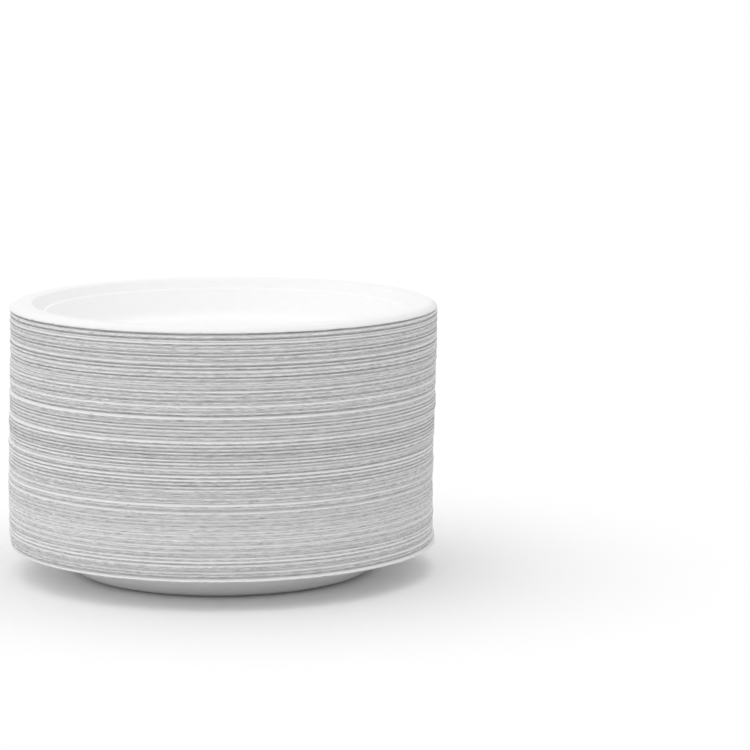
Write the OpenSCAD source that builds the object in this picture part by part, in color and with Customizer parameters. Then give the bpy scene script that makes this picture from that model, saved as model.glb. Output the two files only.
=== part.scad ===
// A stack of round moulded-fibre plates, nested right way up and standing on the foot of the lowest one.
// Millimetres. +Z is up, and the origin is at the centre of the lowest plate's foot, on the table.

/* [Plate] */
// Diameter of a plate over its trimmed edge
plate_d = 228.6; // [170:0.1:300]
// Height of a plate, from the table to the top of its brim
plate_h = 18.8; // [15:0.1:26]
// Thickness of the pressed fibre
wall = 0.6; // [0.4:0.05:0.9]

/* [Foot and floor] */
// Width of the flat ring that a plate stands on, up to the bend into the side
foot_w = 15; // [8:0.5:22]
// Height of the raised floor inside that ring
floor_rise = 0.5; // [0:0.1:1.2]
// Width of the gentle slope from the raised floor down to the ring
floor_slope_w = 12; // [8:0.5:20]
// Radius of the bend from the foot into the side
foot_bend = 18; // [6:0.5:20]

/* [Side, ledge and brim] */
// Width that the side takes up, seen from above
side_w = 18; // [14:0.5:24]
// Width of the narrow ledge at the top of the side
ledge_w = 1.4; // [1:0.1:2.4]
// Width of the shoulder between the ledge and the brim
shoulder_w = 5.9; // [4.8:0.1:8]
// Height of the shoulder between the ledge and the brim
shoulder_h = 4.7; // [3.5:0.1:6]
// Width of the flat brim
brim_w = 8.3; // [5:0.1:12]
// Width of the turned-down lip
lip_w = 3.7; // [2.4:0.1:6]
// How far the lip turns down
lip_drop = 2.6; // [1.5:0.1:4]
// Radius of the two bends at the ledge
ledge_bend = 1.2; // [0.9:0.1:1.6]
// Radius of the bend from the shoulder to the brim
brim_bend = 2; // [1:0.1:3]
// Radius of the bend from the brim to the lip
lip_bend = 2.4; // [1:0.1:3]

/* [Stack] */
// Number of plates in the stack
plates = 125; // [32:1:128]
// Least clearance between two nested plates, measured square to the fibre
nest_gap = 0.06; // [0.02:0.01:0.2]
// How much further apart two plates can lie where the fibre is uneven
uneven = 0.08; // [0:0.01:0.3]
// How much the trimmed radius falls short on the smallest plate
trim_spread = 0.4; // [0:0.05:0.6]
// How far off the axis of the lowest plate a batch can sit, in mm to either side
sway = 1.2; // [0:0.05:1.5]
// How far one nest of plates can sit to the side of the next by chance
jitter = 0.08; // [0:0.01:0.15]
// How far a nest of plates tips out of level by chance, in degrees
tip = 0.03; // [0:0.01:0.1]
// How far the plates of a batch lean together, in degrees
lean = 0.05; // [0:0.01:0.2]
// Least height that the first plate of a batch stands clear of the batch below it
batch_gap = 0.15; // [0:0.05:0.8]

/* [Hidden] */
// Batches of plates that were stacked together, which show as a wider line: the first plate of each, counted from
// the table, and how far it sits to the right and to the back, as shares of the sway
BATCHES = [
    [1, 0, 0],
    [2, -0.5, 0.1],
    [5, -0.9, -0.1],
    [8, -0.95, 0],
    [15, -0.7, 0.05],
    [17, -0.95, -0.1],
    [21, -0.95, 0.05],
    [25, -1, 0.1],
    [36, -0.85, -0.3],
    [39, -0.7, 0.2],
    [42, -0.65, 0],
    [57, -0.25, -0.1],
    [72, 0.2, 0.05],
    [81, 0, -0.1],
    [84, 0.35, 0],
    [98, 0.65, -0.1],
    [101, 0.75, 0.05],
    [106, 0.7, -0.05],
    [108, 0.75, 0.1],
    [112, 0.9, -0.3],
    [121, 1, 0.25],
    [124, 0.8, 0.1]
];
// The end plates are nodes of their own, and those between them share a node in nests of three
LOW_SINGLES = 8;
TOP_SINGLES = 18;
NEST = 3;
ARC_STEP = 13;
FIBRE = [0.93, 0.93, 0.92];
$fn = 180;

plate_r = plate_d / 2;
lip_r = plate_r - lip_w;
brim_r = lip_r - brim_w;
shoulder_r = brim_r - shoulder_w;
ledge_r = shoulder_r - ledge_w;
foot_r = ledge_r - side_w;
ring_r = foot_r - foot_w;
floor_r = ring_r - floor_slope_w;
brim_z = plate_h - wall;
ledge_z = brim_z - shoulder_h;
lip_slope = atan(lip_drop / lip_w);
steepest = max(atan(ledge_z / side_w), atan(shoulder_h / shoulder_w), lip_slope);

function unit(v) = v / norm(v);
function turned(v, a) = [v.x * cos(a) - v.y * sin(a), v.x * sin(a) + v.y * cos(a)];
function left_of(v) = [-v.y, v.x];

// Points of the arc of radius r that rounds corner b of the line a, b, c
function bend(a, b, c, r) =
    let (
        u = unit(b - a),
        v = unit(c - b),
        angle = atan2(cross(u, v), u * v),
        room = min(norm(b - a), norm(c - b)) * 0.48,
        back = min(r * tan(abs(angle) / 2), room),
        radius = back / tan(abs(angle) / 2),
        middle = b - u * back + left_of(u) * radius * sign(angle),
        start = b - u * back - middle,
        steps = ceil(abs(angle) / ARC_STEP)
    )
    [for (i = [0:steps]) middle + turned(start, angle * i / steps)];

// The underside of a plate as a line from its centre out to a trimmed edge of radius edge_r
function underside(edge_r) =
    let (
        floor_edge = [floor_r, floor_rise],
        ring_edge = [ring_r, 0],
        foot = [foot_r, 0],
        ledge_in = [ledge_r, ledge_z],
        ledge_out = [shoulder_r, ledge_z],
        brim_in = [brim_r, brim_z],
        brim_out = [lip_r, brim_z],
        edge = [edge_r, brim_z - (edge_r - lip_r) * tan(lip_slope)]
    )
    concat(
        [[0, floor_rise], floor_edge, ring_edge],
        bend(ring_edge, foot, ledge_in, foot_bend),
        bend(foot, ledge_in, ledge_out, ledge_bend),
        bend(ledge_in, ledge_out, brim_in, ledge_bend),
        bend(ledge_out, brim_in, brim_out, brim_bend),
        bend(brim_in, brim_out, edge, lip_bend),
        [edge]
    );

// The same line moved up by the wall, square to itself; the trimmed edge stays upright
function upper_side(line) =
    [
        for (i = [0:len(line) - 1])
            i == 0 ? line[0] + [0, wall] :
            i == len(line) - 1 ? line[i] + [0, wall / cos(lip_slope)] :
            let (
                before = left_of(unit(line[i] - line[i - 1])),
                after = left_of(unit(line[i + 1] - line[i]))
            )
            line[i] + (before + after) * wall / (1 + before * after)
    ];

function reversed(list) = [for (i = [len(list) - 1:-1:0]) list[i]];
function batch_of(k) = len([for (b = BATCHES) if (b[0] <= k) b]) - 1;
function starts_batch(k) = k > 1 && batch_of(k) > batch_of(k - 1);

// Nests of plates, each as [first, last] counted from the table
count = round(plates);
middle_last = count - TOP_SINGLES;
nests = concat(
    [for (k = [1:LOW_SINGLES]) [k, k]],
    [for (k = [LOW_SINGLES + 1:NEST:middle_last]) [k, min(k + NEST - 1, middle_last)]],
    [for (k = [middle_last + 1:count]) [k, k]]
);
// The lowest plate of the nest that each plate belongs to
nest_starts = [for (n = nests) for (k = [n[0]:n[1]]) n[0]];

// Chance values, one for each plate
trim_chance = rands(0, 1, count, 11);
side_chance = rands(-1, 1, count, 23);
back_chance = rands(-1, 1, count, 37);
lift_chance = rands(0, 1, count, 31);
tip_chance = rands(-1, 1, count, 41);
roll_chance = rands(-1, 1, count, 53);
lean_chance = rands(0, 360, count, 67);

// Where plate k sits, which is where its nest sits; the lowest plate stands square on the table
function shift(k) =
    let (n = nest_starts[k - 1], batch = BATCHES[batch_of(n)])
    n == 1 ? [0, 0] :
    sway * [batch[1], batch[2]] + jitter * [side_chance[n - 1], back_chance[n - 1]];
function tilt(k) =
    let (n = nest_starts[k - 1], batch = lean_chance[batch_of(n)])
    n == 1 ? [0, 0] :
    tip * [tip_chance[n - 1], roll_chance[n - 1]] + lean * [cos(batch), sin(batch)];
// The widest plates lie at the top of a batch and the narrowest at the bottom, so that the line between them shows
function edge_radius(k) =
    plate_r - trim_spread * (starts_batch(k + 1) ? 0 : starts_batch(k) ? 1 : trim_chance[k - 1]);

// What plate k rises above the one below it: the nested pitch, uneven fibre, and room for its shift and tilt
pitch = (wall + nest_gap) / cos(steepest);
function rise(k) =
    pitch
    + uneven * lift_chance[k - 1]
    + norm(shift(k) - shift(k - 1)) * tan(steepest)
    + norm(tilt(k) - tilt(k - 1)) * PI / 180 * plate_r
    + (starts_batch(k) ? batch_gap : 0);
heights = [for (k = 1, z = 0; k <= count; k = k + 1, z = z + (k > count ? 0 : rise(k))) z];

function digits(k) = str(k < 100 ? "0" : "", k < 10 ? "0" : "", k);
function nest_name(n) =
    n[0] == n[1] ? str("plate_", digits(n[0])) : str("plates_", digits(n[0]), "_", digits(n[1]));

// Section through one plate, from its centre to a trimmed edge of radius edge_r, with its foot on y = 0
module plate_section(edge_r) {
    line = underside(edge_r);
    polygon(concat(line, reversed(upper_side(line))));
}

// The plates of nest n, each a solid of its own
module nest(n) {
    low = heights[n[0] - 1];
    translate([shift(n[0]).x, shift(n[0]).y, low])
        rotate([tilt(n[0]).x, tilt(n[0]).y, 0])
            color(FIBRE)
                rotate_extrude()
                    for (k = [n[0]:n[1]])
                        translate([0, heights[k - 1] - low])
                            plate_section(edge_radius(k));
}

for (n = nests)
    nest(n);
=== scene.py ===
"""The looks of a stack of round moulded-fibre plates, nested right way up.

Each plate is revolved from the pressed section by one Geometry Nodes tree. The tree also nests the plates at
the places measured from the frame, gives their brims a slight wave and lets their die-cut edges wander.
"""

import math

import bpy
import numpy as np
from mathutils import Euler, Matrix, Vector


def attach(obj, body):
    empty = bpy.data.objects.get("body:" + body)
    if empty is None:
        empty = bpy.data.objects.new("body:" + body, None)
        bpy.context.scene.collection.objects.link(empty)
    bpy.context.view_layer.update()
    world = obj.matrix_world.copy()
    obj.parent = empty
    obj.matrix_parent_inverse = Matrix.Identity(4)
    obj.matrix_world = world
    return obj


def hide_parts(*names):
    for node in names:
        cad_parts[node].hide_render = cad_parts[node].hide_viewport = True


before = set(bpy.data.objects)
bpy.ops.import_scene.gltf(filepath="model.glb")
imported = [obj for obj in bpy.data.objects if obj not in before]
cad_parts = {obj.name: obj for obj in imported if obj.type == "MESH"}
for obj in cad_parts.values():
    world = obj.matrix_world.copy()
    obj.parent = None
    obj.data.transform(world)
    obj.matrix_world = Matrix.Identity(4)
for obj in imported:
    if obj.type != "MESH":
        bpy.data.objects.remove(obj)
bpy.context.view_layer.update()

MM = 0.001
MICRON = MM / 1000

# The pressed section of a plate, the same for all of them
PLATE_R = 114.3 * MM
PLATE_H = 18.8 * MM
WALL = 0.6 * MM
FOOT_W = 15 * MM
FLOOR_RISE = 0.5 * MM
FLOOR_SLOPE_W = 12 * MM
SIDE_W = 18 * MM
LEDGE_W = 1.4 * MM
SHOULDER_W = 5.9 * MM
SHOULDER_H = 4.7 * MM
BRIM_W = 8.3 * MM
LIP_W = 3.7 * MM
LIP_DROP = 2.6 * MM
FOOT_BEND = 18 * MM
LEDGE_BEND = 1.2 * MM
BRIM_BEND = 2 * MM
LIP_BEND = 2.4 * MM

LIP_R = PLATE_R - LIP_W
BRIM_R = LIP_R - BRIM_W
SHOULDER_R = BRIM_R - SHOULDER_W
LEDGE_R = SHOULDER_R - LEDGE_W
FOOT_R = LEDGE_R - SIDE_W
RING_R = FOOT_R - FOOT_W
FLOOR_R = RING_R - FLOOR_SLOPE_W
BRIM_Z = PLATE_H - WALL
LEDGE_Z = BRIM_Z - SHOULDER_H
LIP_SLOPE = LIP_DROP / LIP_W
# The lip is straight from here to its trimmed edge
LIP_STRAIGHT_R = LIP_R + 1.1 * MM

# The die leaves the corners of the trimmed edge blunt
EDGE_TOP_BLUNT = 0.25 * MM
EDGE_FOOT_BLUNT = 0.15 * MM
# The faces beyond this radius belong to the trimmed edge
TRIM_R = PLATE_R - 0.3 * MM
# Points this close to the widest one of a solid belong to its rim
RIM_DEPTH = 0.1 * MM
# The trimmed edge's foot, and its height from there to its top
EDGE_FOOT_Z = BRIM_Z - LIP_DROP
EDGE_H = WALL * math.hypot(1, LIP_SLOPE)

# The circle that carries the section round the axis, how finely the end plates and the others are made, and
# the distance under which points are one
SPINE_R = 60 * MM
FINE_STRAY = 0.01 * MM
FINE_SEGMENTS = 256
PLAIN_STRAY = 0.115 * MM
PLAIN_SEGMENTS = 116
MERGE_DISTANCE = 10 * MICRON

# How the brims of nested plates differ from a true circle: how far, and how often round the plate
BRIM_WAVE = 0.09 * MM
EDGE_WANDER = 0.4 * MM
WAVE_TURNS = 2.6
EDGE_TURNS = 7
# How far the brim's waves change from one plate to the next, and the edges' by chance
WAVE_DRIFT = 0.35
EDGE_DRIFT = 100.0
SEED = 9

# How much darker every other edge is painted, as shade between nested plates, at these two levels of
# the stack and between them
DARK_LEVELS = (30, 70)
DARK_DEPTHS = (0.5, 1.2)

# The camera, fitted to the rims of the stack in the 750 pixel frame of the photograph, with turns in radians
FRAME_PX = 750
SENSOR_MM = 36
FOCAL_PX = 3218
CAMERA_DISTANCE = 1.7106
CAMERA_HEIGHT = 0.3566
CAMERA_DOWN = 0.1461
CAMERA_RIGHT = 0.0478
CAMERA_REACH = 100

# The light: a white room, and in it a wide bright ceiling, a weaker softbox from the upper left and a low
# white card in front, a little to the left. Each has its strength, how many degrees it spans and the
# direction it shines in
WHITE_ROOM = 0.43
LIGHTS = {
    "ceiling": (1.42, 100, (0, 0, -1)),
    "left_softbox": (0.66, 100, (0.5, 0, -1)),
    "front_card": (0.24, 20, (0.6, 1, -0.05)),
}

# The pieces between the foot plate and the top plate
BATCHES = ("lowest", "low", "lower_middle", "upper_middle", "high", "highest")


def linear(hex_colour):
    """The linear RGBA of an sRGB hex colour."""
    parts = [int(hex_colour[i:i + 2], 16) / 255 for i in (0, 2, 4)]
    return [c / 12.92 if c <= 0.04045 else ((c + 0.055) / 1.055) ** 2.4 for c in parts] + [1.0]


def add_node(tree, kind, inputs=None, **settings):
    """A node of that kind with its settings. Each input is given a value, or linked to a socket or to the
    first output of a node."""
    node = tree.nodes.new(kind)
    for name, value in settings.items():
        setattr(node, name, value)
    for key, value in (inputs or {}).items():
        if isinstance(value, bpy.types.Node):
            value = value.outputs[0]
        if isinstance(value, bpy.types.NodeSocket):
            tree.links.new(value, node.inputs[key])
        else:
            node.inputs[key].default_value = value
    return node


# The section


def bend(a, b, c, radius, stray):
    """Points of the arc that rounds corner b of the line a, b, c. Its chords stray at most that far from it.
    """
    u = (b - a).normalized()
    v = (c - b).normalized()
    angle = math.atan2(u.cross(v), u.dot(v))
    back = radius * math.tan(abs(angle) / 2)
    side = math.copysign(1, angle)
    middle = b - u * back + Vector((-u.y, u.x)) * radius * side
    start = b - u * back - middle
    steps = math.ceil(abs(angle) / (2 * math.acos(1 - stray / radius)))
    points = []
    for i in range(steps + 1):
        turn = angle * i / steps
        points.append(middle + Vector((
            start.x * math.cos(turn) - start.y * math.sin(turn),
            start.x * math.sin(turn) + start.y * math.cos(turn),
        )))
    return points


def underside(stray):
    """The underside of a plate, as (radius, height) from its centre to its trimmed edge."""
    ring_edge = Vector((RING_R, 0))
    foot = Vector((FOOT_R, 0))
    ledge_in = Vector((LEDGE_R, LEDGE_Z))
    ledge_out = Vector((SHOULDER_R, LEDGE_Z))
    brim_in = Vector((BRIM_R, BRIM_Z))
    brim_out = Vector((LIP_R, BRIM_Z))
    edge = Vector((PLATE_R, EDGE_FOOT_Z))
    return [
        Vector((0, FLOOR_RISE)),
        Vector((FLOOR_R, FLOOR_RISE)),
        ring_edge,
        *bend(ring_edge, foot, ledge_in, FOOT_BEND, stray),
        *bend(foot, ledge_in, ledge_out, LEDGE_BEND, stray),
        *bend(ledge_in, ledge_out, brim_in, LEDGE_BEND, stray),
        *bend(ledge_out, brim_in, brim_out, BRIM_BEND, stray),
        *bend(brim_in, brim_out, edge, LIP_BEND, stray),
        edge,
    ]


def upper_side(line):
    """The same line moved up by the wall, square to itself, with an upright trimmed edge."""
    points = [line[0] + Vector((0, WALL))]
    for before, here, after in zip(line, line[1:], line[2:]):
        u = (here - before).normalized()
        v = (after - here).normalized()
        normals = Vector((-u.y, u.x)) + Vector((-v.y, v.x))
        points.append(here + normals * WALL / (1 + u.dot(v)))
    points.append(line[-1] + Vector((0, EDGE_H)))
    return points


def blunted(before, corner, after, length):
    """The two points that cut a corner off, that far from it."""
    return [corner + (end - corner).normalized() * length for end in (before, after)]


def section_curve(name, stray):
    """The outline of the section as a curve, laid out so that the tree turns it upright round the spine."""
    *under, low = underside(stray)
    *upper, high = upper_side([*under, low])
    edge_top = blunted(upper[-1], high, low, EDGE_TOP_BLUNT)
    edge_foot = blunted(high, low, under[-1], EDGE_FOOT_BLUNT)
    outline = upper + edge_top + edge_foot + under[::-1]
    curve = bpy.data.curves.new(name, "CURVE")
    curve.dimensions = "3D"
    spline = curve.splines.new("POLY")
    spline.points.add(len(outline) - 1)
    for point, place in zip(spline.points, outline):
        point.co = (place.x - SPINE_R, -place.y, 0, 1)
    obj = bpy.data.objects.new(name, curve)
    bpy.context.scene.collection.objects.link(obj)
    return obj


# The places of the plates, measured from the frame


def number(node):
    """The number of a node's lowest plate, counted from the table."""
    return int(node.split("_")[1])


def islands(obj):
    """The corner points of each separate solid in a CAD node's mesh."""
    mesh = obj.data
    coords = np.zeros(len(mesh.vertices) * 3)
    mesh.vertices.foreach_get("co", coords)
    coords = coords.reshape(-1, 3)
    points, index = np.unique(np.round(coords / MICRON), axis=0, return_inverse=True)
    edges = np.zeros(len(mesh.edges) * 2, int)
    mesh.edges.foreach_get("vertices", edges)
    a, b = index.reshape(-1)[edges.reshape(-1, 2)].T
    label = np.arange(len(points))
    while True:
        low = np.minimum(label[a], label[b])
        new = label.copy()
        np.minimum.at(new, a, low)
        np.minimum.at(new, b, low)
        new = new[new]
        if (new == label).all():
            break
        label = new
    return [points[label == k] * MICRON for k in np.unique(label)]


def measure_plate(points):
    """Where a plate's foot is, how it leans and how far out its edge was trimmed."""
    rough = (points.min(axis=0) + points.max(axis=0)) / 2
    radii = np.hypot(*(points - rough)[:, :2].T)
    rim = points[radii > radii.max() - RIM_DEPTH]
    # A circle through the rim, and a plane
    ones = np.ones(len(rim))
    circle = np.linalg.lstsq(np.c_[2 * rim[:, :2], ones], (rim[:, :2] ** 2).sum(axis=1), rcond=None)[0]
    centre = circle[:2]
    edge_r = math.sqrt(circle[2] + centre @ centre)
    slope_x, slope_y, height = np.linalg.lstsq(np.c_[rim[:, :2] - centre, ones], rim[:, 2], rcond=None)[0]
    lean = Euler((math.atan(slope_y), -math.atan(slope_x), 0))
    edge_z = BRIM_Z - (edge_r - LIP_R) * LIP_SLOPE + EDGE_H / 2
    foot = Vector((*centre, height)) - lean.to_matrix() @ Vector((0, 0, edge_z))
    return {"foot": foot, "lean": lean, "edge": edge_r}


def plates_of(nodes):
    """Every plate of those CAD nodes, from the lowest up."""
    found = [measure_plate(points) for name in nodes for points in islands(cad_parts[name])]
    return sorted(found, key=lambda plate: plate["foot"].z)


# The tree that revolves and nests the plates, and makes their brims and edges uneven


def nested_plates_tree():
    """The tree, and the identifiers of its inputs by name."""
    tree = bpy.data.node_groups.new("nested_plates", "GeometryNodeTree")
    sizes = {
        "Places": ("NodeSocketGeometry", None),
        "Section": ("NodeSocketObject", None),
        "Segments": ("NodeSocketInt", PLAIN_SEGMENTS),
        "Spine radius": ("NodeSocketFloat", SPINE_R),
        "Trimmed radius": ("NodeSocketFloat", PLATE_R),
        "Lip start": ("NodeSocketFloat", LIP_STRAIGHT_R),
        "Lip slope": ("NodeSocketFloat", LIP_SLOPE),
        "Trim start": ("NodeSocketFloat", TRIM_R),
        "Edge foot": ("NodeSocketFloat", EDGE_FOOT_Z),
        "Edge top": ("NodeSocketFloat", EDGE_FOOT_Z + EDGE_H),
        "Brim start": ("NodeSocketFloat", SHOULDER_R),
        "Wave height": ("NodeSocketFloat", BRIM_WAVE),
        "Edge wander": ("NodeSocketFloat", EDGE_WANDER),
        "Seed": ("NodeSocketInt", SEED),
        "Fibre": ("NodeSocketMaterial", None),
    }
    ids = {}
    for name, (kind, default) in sizes.items():
        socket = tree.interface.new_socket(name, in_out="INPUT", socket_type=kind)
        if default is not None:
            socket.default_value = default
        ids[name] = socket.identifier
    tree.interface.new_socket("Plates", in_out="OUTPUT", socket_type="NodeSocketGeometry")
    given = add_node(tree, "NodeGroupInput").outputs

    # One plate, revolved from its section. The merge closes it on the axis, and it is smooth all over, so
    # that the trimmed edge looks rounded
    spine = add_node(tree, "GeometryNodeCurvePrimitiveCircle",
                     {"Resolution": given["Segments"], "Radius": given["Spine radius"]})
    section = add_node(tree, "GeometryNodeObjectInfo", {"Object": given["Section"]})
    revolved = add_node(tree, "GeometryNodeCurveToMesh",
                        {"Curve": spine, "Profile Curve": section.outputs["Geometry"]})
    closed = add_node(tree, "GeometryNodeMergeByDistance",
                      {"Geometry": revolved, "Distance": MERGE_DISTANCE})
    smooth = add_node(tree, "GeometryNodeSetShadeSmooth", {"Geometry": closed})

    # The faces of the trimmed edge are marked, and its height runs from 0 at its foot to 1 at its top
    at = add_node(tree, "GeometryNodeInputPosition")
    at_height = add_node(tree, "ShaderNodeSeparateXYZ", {"Vector": at}).outputs["Z"]
    at_flat = add_node(tree, "ShaderNodeVectorMath", {0: at, 1: (1, 1, 0)}, operation="MULTIPLY")
    at_radius = add_node(tree, "ShaderNodeVectorMath", {0: at_flat}, operation="LENGTH").outputs["Value"]
    outermost = add_node(tree, "ShaderNodeMath", {0: at_radius, 1: given["Trim start"]},
                         operation="GREATER_THAN")
    marked = add_node(tree, "GeometryNodeStoreNamedAttribute",
                      {"Geometry": smooth, "Name": "trimmed", "Value": outermost},
                      data_type="FLOAT", domain="FACE")
    edge_rise = add_node(tree, "ShaderNodeMapRange",
                         {"Value": at_height, "From Min": given["Edge foot"], "From Max": given["Edge top"]})
    plate = add_node(tree, "GeometryNodeStoreNamedAttribute",
                     {"Geometry": marked, "Name": "edge_rise", "Value": edge_rise},
                     data_type="FLOAT", domain="POINT")

    # Its copies, one at each place
    lean = add_node(tree, "GeometryNodeInputNamedAttribute", {"Name": "lean"}, data_type="FLOAT_VECTOR")
    turned = add_node(tree, "FunctionNodeEulerToRotation", {"Euler": lean})
    copies = add_node(tree, "GeometryNodeInstanceOnPoints",
                      {"Points": given["Places"], "Instance": plate, "Rotation": turned})
    solid = add_node(tree, "GeometryNodeRealizeInstances", {"Geometry": copies})

    # Each point's radius and direction from the axis of its own plate
    place = add_node(tree, "GeometryNodeInputNamedAttribute", {"Name": "place"}, data_type="FLOAT_VECTOR")
    position = add_node(tree, "GeometryNodeInputPosition")
    away = add_node(tree, "ShaderNodeVectorMath", {0: position, 1: place}, operation="SUBTRACT")
    flat = add_node(tree, "ShaderNodeVectorMath", {0: away, 1: (1, 1, 0)}, operation="MULTIPLY")
    radius = add_node(tree, "ShaderNodeVectorMath", {0: flat}, operation="LENGTH").outputs["Value"]
    outward = add_node(tree, "ShaderNodeVectorMath", {0: flat}, operation="NORMALIZE")
    lip_share = add_node(
        tree, "ShaderNodeMapRange",
        {"Value": radius, "From Min": given["Lip start"], "From Max": given["Trimmed radius"]})
    brim_share = add_node(tree, "ShaderNodeMapRange",
                          {"Value": radius, "From Min": given["Brim start"], "From Max": given["Lip start"]},
                          interpolation_type="SMOOTHSTEP")

    # Slow waves of the brim, which change little from one plate to the next
    level = add_node(tree, "GeometryNodeInputNamedAttribute", {"Name": "level"}, data_type="FLOAT")
    wave_seed = add_node(tree, "ShaderNodeMath", {0: level, 1: WAVE_DRIFT, 2: given["Seed"]},
                         operation="MULTIPLY_ADD")
    wave_noise = add_node(tree, "ShaderNodeTexNoise",
                          {"Vector": outward, "W": wave_seed, "Scale": WAVE_TURNS, "Detail": 2.0},
                          noise_dimensions="4D")
    wave = add_node(tree, "ShaderNodeMapRange",
                    {"Value": wave_noise, "From Min": 0.25, "From Max": 0.75, "To Min": -1.0, "To Max": 1.0})
    wave = add_node(tree, "ShaderNodeMath", {0: wave, 1: given["Wave height"]}, operation="MULTIPLY")

    # How far the die left this edge short, here and there
    chance = add_node(tree, "GeometryNodeInputNamedAttribute", {"Name": "chance"}, data_type="FLOAT")
    edge_seed = add_node(tree, "ShaderNodeMath", {0: chance, 1: EDGE_DRIFT, 2: given["Seed"]},
                         operation="MULTIPLY_ADD")
    edge_noise = add_node(tree, "ShaderNodeTexNoise",
                          {"Vector": outward, "W": edge_seed, "Scale": EDGE_TURNS, "Detail": 3.0},
                          noise_dimensions="4D")
    edge = add_node(tree, "GeometryNodeInputNamedAttribute", {"Name": "edge"}, data_type="FLOAT")
    trimmed = add_node(tree, "ShaderNodeMath", {0: given["Trimmed radius"], 1: edge}, operation="SUBTRACT")
    short = add_node(tree, "ShaderNodeMath", {0: edge_noise, 1: given["Edge wander"], 2: trimmed},
                     operation="MULTIPLY_ADD")
    short = add_node(tree, "ShaderNodeMath", {0: short, 1: lip_share}, operation="MULTIPLY")
    rise = add_node(tree, "ShaderNodeMath", {0: short, 1: given["Lip slope"]}, operation="MULTIPLY")
    lift = add_node(tree, "ShaderNodeMath", {0: wave, 1: brim_share, 2: rise}, operation="MULTIPLY_ADD")
    up = add_node(tree, "ShaderNodeCombineXYZ", {"Z": lift})
    inward = add_node(tree, "ShaderNodeVectorMath", {0: outward, "Scale": short}, operation="SCALE")
    offset = add_node(tree, "ShaderNodeVectorMath", {0: up, 1: inward}, operation="SUBTRACT")
    moved = add_node(tree, "GeometryNodeSetPosition", {"Geometry": solid, "Offset": offset})

    whole = add_node(tree, "GeometryNodeRealizeInstances", {"Geometry": moved})
    dressed = add_node(tree, "GeometryNodeSetMaterial", {"Geometry": whole, "Material": given["Fibre"]})
    add_node(tree, "NodeGroupOutput", {"Plates": dressed})
    return tree, ids


def nest_plates(name, plates, levels, section, settings, material, least_edge_tone=0.0):
    """One mesh of the plates, each revolved from the section and set at its place."""
    places = bpy.data.meshes.new(name + "_places")
    places.from_pydata([plate["foot"] for plate in plates], [], [])
    chances_and_shades = np.random.default_rng(SEED + levels[0]).random(len(plates))
    # Part of this spread is painted shade: the darker edges stand in for the shade lines between nested
    # plates, and the rest is random tone
    # Lighter and darker edges take turns, so that neighbours differ. The darker ones show less low in the
    # stack, as in the photograph
    depths = np.interp(levels, DARK_LEVELS, DARK_DEPTHS)
    swings = np.where(np.array(levels) % 2 == 1, -depths, 1) * chances_and_shades
    chances_and_shades = np.clip(0.5 + 0.5 * swings, least_edge_tone, 1)
    columns = {
        "lean": ("FLOAT_VECTOR", "vector", [c for plate in plates for c in plate["lean"]]),
        "place": ("FLOAT_VECTOR", "vector", [c for plate in plates for c in plate["foot"]]),
        "edge": ("FLOAT", "value", [plate["edge"] for plate in plates]),
        "level": ("FLOAT", "value", levels),
        "chance": ("FLOAT", "value", chances_and_shades),
    }
    for key, (kind, field, values) in columns.items():
        places.attributes.new(key, kind, "POINT").data.foreach_set(field, values)
    source = bpy.data.objects.new(name + "_source", places)
    bpy.context.scene.collection.objects.link(source)
    modifier = source.modifiers.new("nested_plates", "NODES")
    modifier.node_group = PLATES_TREE
    for key, value in {"Section": section, "Fibre": material, **settings}.items():
        modifier[TREE_IDS[key]] = value
    graph = bpy.context.evaluated_depsgraph_get()
    mesh = bpy.data.meshes.new_from_object(source.evaluated_get(graph))
    mesh.name = name
    while mesh.materials[0] is None:
        mesh.materials.pop(index=0)
    for key in ("lean", "place", "edge", "level"):
        mesh.attributes.remove(mesh.attributes[key])
    source.modifiers.remove(modifier)
    bpy.data.objects.remove(source)
    piece = bpy.data.objects.new(name, mesh)
    bpy.context.scene.collection.objects.link(piece)
    return piece


# Materials


def new_material(name):
    material = bpy.data.materials.new(name)
    material.use_nodes = True
    return material, material.node_tree, material.node_tree.nodes["Principled BSDF"]


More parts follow.
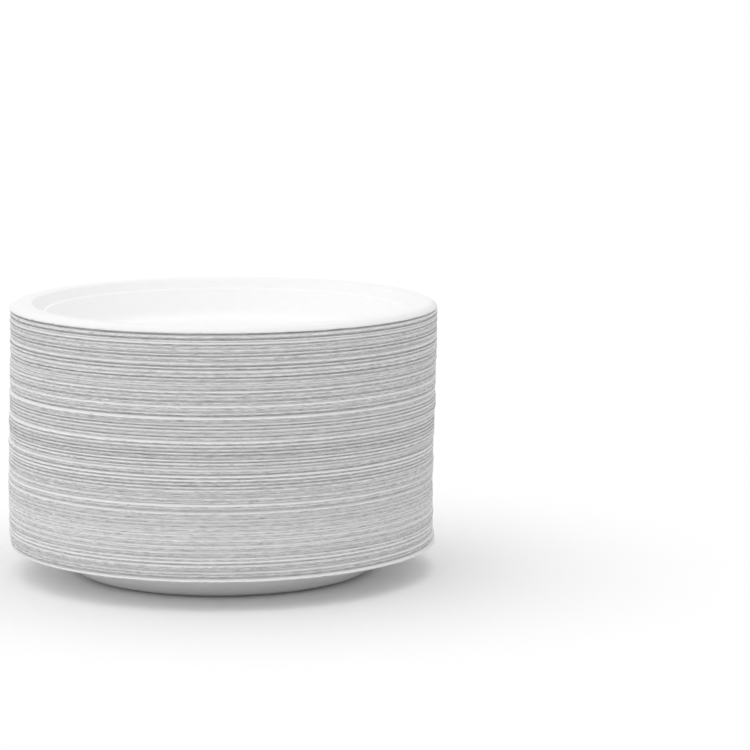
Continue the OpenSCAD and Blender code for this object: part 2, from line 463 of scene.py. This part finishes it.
def pressed_fibre():
    """Bleached pulp, pressed wet between hot tools: dense, matt and off-white, with the faint clouds and
    short fibres of the pulp, the print of the forming net on the underside, and a torn die-cut edge of
    random flakes. The edge also carries painted shade, darker on every other plate and towards its foot,
    where shade falls between nested plates; the top plate's edge is lightest, a painted highlight.
    """
    material, tree, shader = new_material("pressed_fibre")
    # Clouds of pulp are half as wide as a finger. Fibres and net are drawn about twice their size, so they
    # show
    cloud_mm, fibre_mm, net_mm = 7, 0.9, 0.8
    # The die tears the edge into flakes, long round the plate and a part of its thickness high. They are
    # drawn longer than real ones, so they show
    flake_long_mm, flake_high_mm = 5, 0.36
    fibre_height, net_height, flake_height = 0.05 * MM, 0.03 * MM, 0.2 * MM

    coord = add_node(tree, "ShaderNodeTexCoord")
    place = coord.outputs["Object"]
    facing = add_node(tree, "ShaderNodeSeparateXYZ", {"Vector": coord.outputs["Normal"]}).outputs["Z"]
    clouds = add_node(tree, "ShaderNodeTexNoise",
                      {"Vector": place, "Scale": 1 / (cloud_mm * MM), "Detail": 3.0})
    fibres = add_node(tree, "ShaderNodeTexNoise",
                      {"Vector": place, "Scale": 1 / (fibre_mm * MM), "Detail": 4.0, "Distortion": 1.6})

    # The net: two sets of fine ribs that cross, only on faces that look down
    turns = 2 * math.pi / (net_mm * MM)
    turned = add_node(tree, "ShaderNodeVectorMath", {0: place, 1: (turns, turns, 0)}, operation="MULTIPLY")
    ribs = add_node(tree, "ShaderNodeVectorMath", {0: turned}, operation="SINE")
    rib = add_node(tree, "ShaderNodeSeparateXYZ", {"Vector": ribs})
    below = add_node(tree, "ShaderNodeMapRange", {"Value": facing, "From Min": -0.3, "From Max": -0.6})
    net = add_node(tree, "ShaderNodeMath", {0: rib.outputs["X"], 1: rib.outputs["Y"]}, operation="MULTIPLY")
    net = add_node(tree, "ShaderNodeMath", {0: net, 1: below}, operation="MULTIPLY")

    # The torn flakes of the trimmed edge
    trimmed = add_node(tree, "ShaderNodeAttribute", attribute_name="trimmed").outputs["Fac"]
    flake_size = (1 / (flake_long_mm * MM), 1 / (flake_long_mm * MM), 1 / (flake_high_mm * MM))
    flake_place = add_node(tree, "ShaderNodeVectorMath", {0: place, 1: flake_size}, operation="MULTIPLY")
    flakes = add_node(tree, "ShaderNodeTexNoise",
                      {"Vector": flake_place, "Scale": 1.0, "Detail": 4.0, "Roughness": 0.72})

    # Tone: clouds all over; on the edge, flakes and a tone of its own for each plate, which is partly
    # random and partly painted shade, and painted shade towards the edge's foot
    chance = add_node(tree, "ShaderNodeAttribute", attribute_name="chance").outputs["Fac"]
    plate_tone_and_shade = add_node(tree, "ShaderNodeMapRange", {"Value": chance, "To Min": 0.42, "To Max": 1.2})
    flake_tone = add_node(tree, "ShaderNodeMapRange",
                          {"Value": flakes, "From Min": 0.3, "From Max": 0.7, "To Min": 0.5, "To Max": 1.5})
    edge_tone_and_shade = add_node(tree, "ShaderNodeMath", {0: flake_tone, 1: plate_tone_and_shade}, operation="MULTIPLY")
    # Painted shade: the trimmed edge darkens towards its foot, over the shaded gap to the plate beneath
    edge_rise = add_node(tree, "ShaderNodeAttribute", attribute_name="edge_rise").outputs["Fac"]
    edge_foot_shade = add_node(tree, "ShaderNodeMapRange",
                            {"Value": edge_rise, "From Min": 0.05, "From Max": 0.45, "To Min": 0.3})
    edge_tone_and_shade = add_node(tree, "ShaderNodeMath", {0: edge_tone_and_shade, 1: edge_foot_shade}, operation="MULTIPLY")
    edge_tone_and_shade = add_node(tree, "ShaderNodeMix", {"Factor": trimmed, 2: 1.0, 3: edge_tone_and_shade}, data_type="FLOAT")
    cloud_tone = add_node(tree, "ShaderNodeMapRange", {"Value": clouds, "To Min": 0.965, "To Max": 1.01})
    tone = add_node(tree, "ShaderNodeMath", {0: edge_tone_and_shade, 1: cloud_tone}, operation="MULTIPLY")
    pulp = add_node(tree, "ShaderNodeMix", {"Factor": tone, 6: linear("000000"), 7: linear("F5F5F5")},
                    data_type="RGBA")
    tree.links.new(pulp.outputs[2], shader.inputs["Base Color"])

    height = add_node(tree, "ShaderNodeMath", {0: fibres, 1: fibre_height}, operation="MULTIPLY")
    height = add_node(tree, "ShaderNodeMath", {0: net, 1: net_height, 2: height}, operation="MULTIPLY_ADD")
    torn = add_node(tree, "ShaderNodeMath", {0: flakes, 1: trimmed}, operation="MULTIPLY")
    height = add_node(tree, "ShaderNodeMath", {0: torn, 1: flake_height, 2: height},
                      operation="MULTIPLY_ADD")
    bump = add_node(tree, "ShaderNodeBump", {"Height": height, "Strength": 1.0, "Distance": 1.0})
    tree.links.new(bump.outputs["Normal"], shader.inputs["Normal"])
    rough = add_node(tree, "ShaderNodeMapRange", {"Value": fibres, "To Min": 0.62, "To Max": 0.85})
    tree.links.new(rough.outputs["Result"], shader.inputs["Roughness"])
    shader.inputs["IOR"].default_value = 1.47
    shader.inputs["Specular IOR Level"].default_value = 0.35
    return material


def seamless_paper():
    """The matt white paper roll of a studio, with a faint even grain."""
    material, tree, shader = new_material("seamless_paper")
    grain_mm = 3
    coord = add_node(tree, "ShaderNodeTexCoord")
    grain = add_node(tree, "ShaderNodeTexNoise",
                     {"Vector": coord.outputs["Object"], "Scale": 1 / (grain_mm * MM), "Detail": 2.0})
    paper = add_node(tree, "ShaderNodeMix", {"Factor": grain, 6: linear("F9F9F9"), 7: linear("FBFBFB")},
                     data_type="RGBA")
    tree.links.new(paper.outputs[2], shader.inputs["Base Color"])
    shader.inputs["Roughness"].default_value = 0.9
    shader.inputs["Specular IOR Level"].default_value = 0.2
    return material


# Stage, light and camera


def make_floor(material):
    """A sheet that reaches past what the camera sees."""
    half_w, near, far = 12, -6, 30
    corners = [(-half_w, near, 0), (half_w, near, 0), (half_w, far, 0), (-half_w, far, 0)]
    mesh = bpy.data.meshes.new("floor")
    mesh.from_pydata(corners, [], [(0, 1, 2, 3)])
    mesh.materials.append(material)
    floor = bpy.data.objects.new("floor", mesh)
    bpy.context.scene.collection.objects.link(floor)
    return floor


def make_light(name, strength, span, direction):
    """A large, far softbox that spans that many degrees and shines along direction."""
    light = bpy.data.lights.new(name, "SUN")
    light.energy = strength
    light.angle = math.radians(span)
    obj = bpy.data.objects.new(name, light)
    obj.rotation_euler = Vector(direction).to_track_quat("-Z", "Y").to_euler()
    bpy.context.scene.collection.objects.link(obj)


def make_world(strength):
    world = bpy.data.worlds.new("white_room")
    world.use_nodes = True
    background = world.node_tree.nodes["Background"]
    background.inputs["Color"].default_value = linear("FFFFFF")
    background.inputs["Strength"].default_value = strength
    bpy.context.scene.world = world


def make_camera():
    camera = bpy.data.cameras.new("camera")
    camera.sensor_width = SENSOR_MM
    camera.lens = FOCAL_PX / FRAME_PX * SENSOR_MM
    camera.clip_end = CAMERA_REACH
    obj = bpy.data.objects.new("camera", camera)
    obj.location = (0, -CAMERA_DISTANCE, CAMERA_HEIGHT)
    obj.rotation_euler = (math.pi / 2 - CAMERA_DOWN, 0, -CAMERA_RIGHT)
    bpy.context.scene.collection.objects.link(obj)
    bpy.context.scene.camera = obj


# The pieces


def finish_piece(piece, nodes):
    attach(piece, "root")
    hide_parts(*nodes)


FIBRE = pressed_fibre()
PLATES_TREE, TREE_IDS = nested_plates_tree()
FINE_SECTION = section_curve("fine_section", FINE_STRAY)
PLAIN_SECTION = section_curve("plain_section", PLAIN_STRAY)

stack_nodes = sorted(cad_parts, key=number)
inner_nodes = stack_nodes[1:-1]
top_level = number(stack_nodes[-1]) - 1

foot_plate = nest_plates("foot_plate", plates_of(stack_nodes[:1]), [0], FINE_SECTION,
                         {"Segments": FINE_SEGMENTS, "Wave height": 0.0}, FIBRE)
finish_piece(foot_plate, stack_nodes[:1])

# The batches are about equal in plates
for batch, name in enumerate(BATCHES):
    nodes = [node for node in inner_nodes if (number(node) - 2) * len(BATCHES) // (top_level - 1) == batch]
    plates = plates_of(nodes)
    first = number(nodes[0]) - 1
    levels = list(range(first, first + len(plates)))
    finish_piece(nest_plates("plates_" + name, plates, levels, PLAIN_SECTION, {}, FIBRE), nodes)

# The top plate's edge gets the lightest tone, a painted highlight where its uncovered edge catches the light
top_plate = nest_plates("top_plate", plates_of(stack_nodes[-1:]), [top_level], FINE_SECTION,
                        {"Segments": FINE_SEGMENTS, "Wave height": 0.0}, FIBRE, least_edge_tone=1.0)
finish_piece(top_plate, stack_nodes[-1:])

for section in (FINE_SECTION, PLAIN_SECTION):
    bpy.data.objects.remove(section)

floor = make_floor(seamless_paper())
make_world(WHITE_ROOM)
for name, (strength, span, direction) in LIGHTS.items():
    make_light(name, strength, span, direction)
make_camera()
bpy.context.scene.view_settings.view_transform = "Standard"
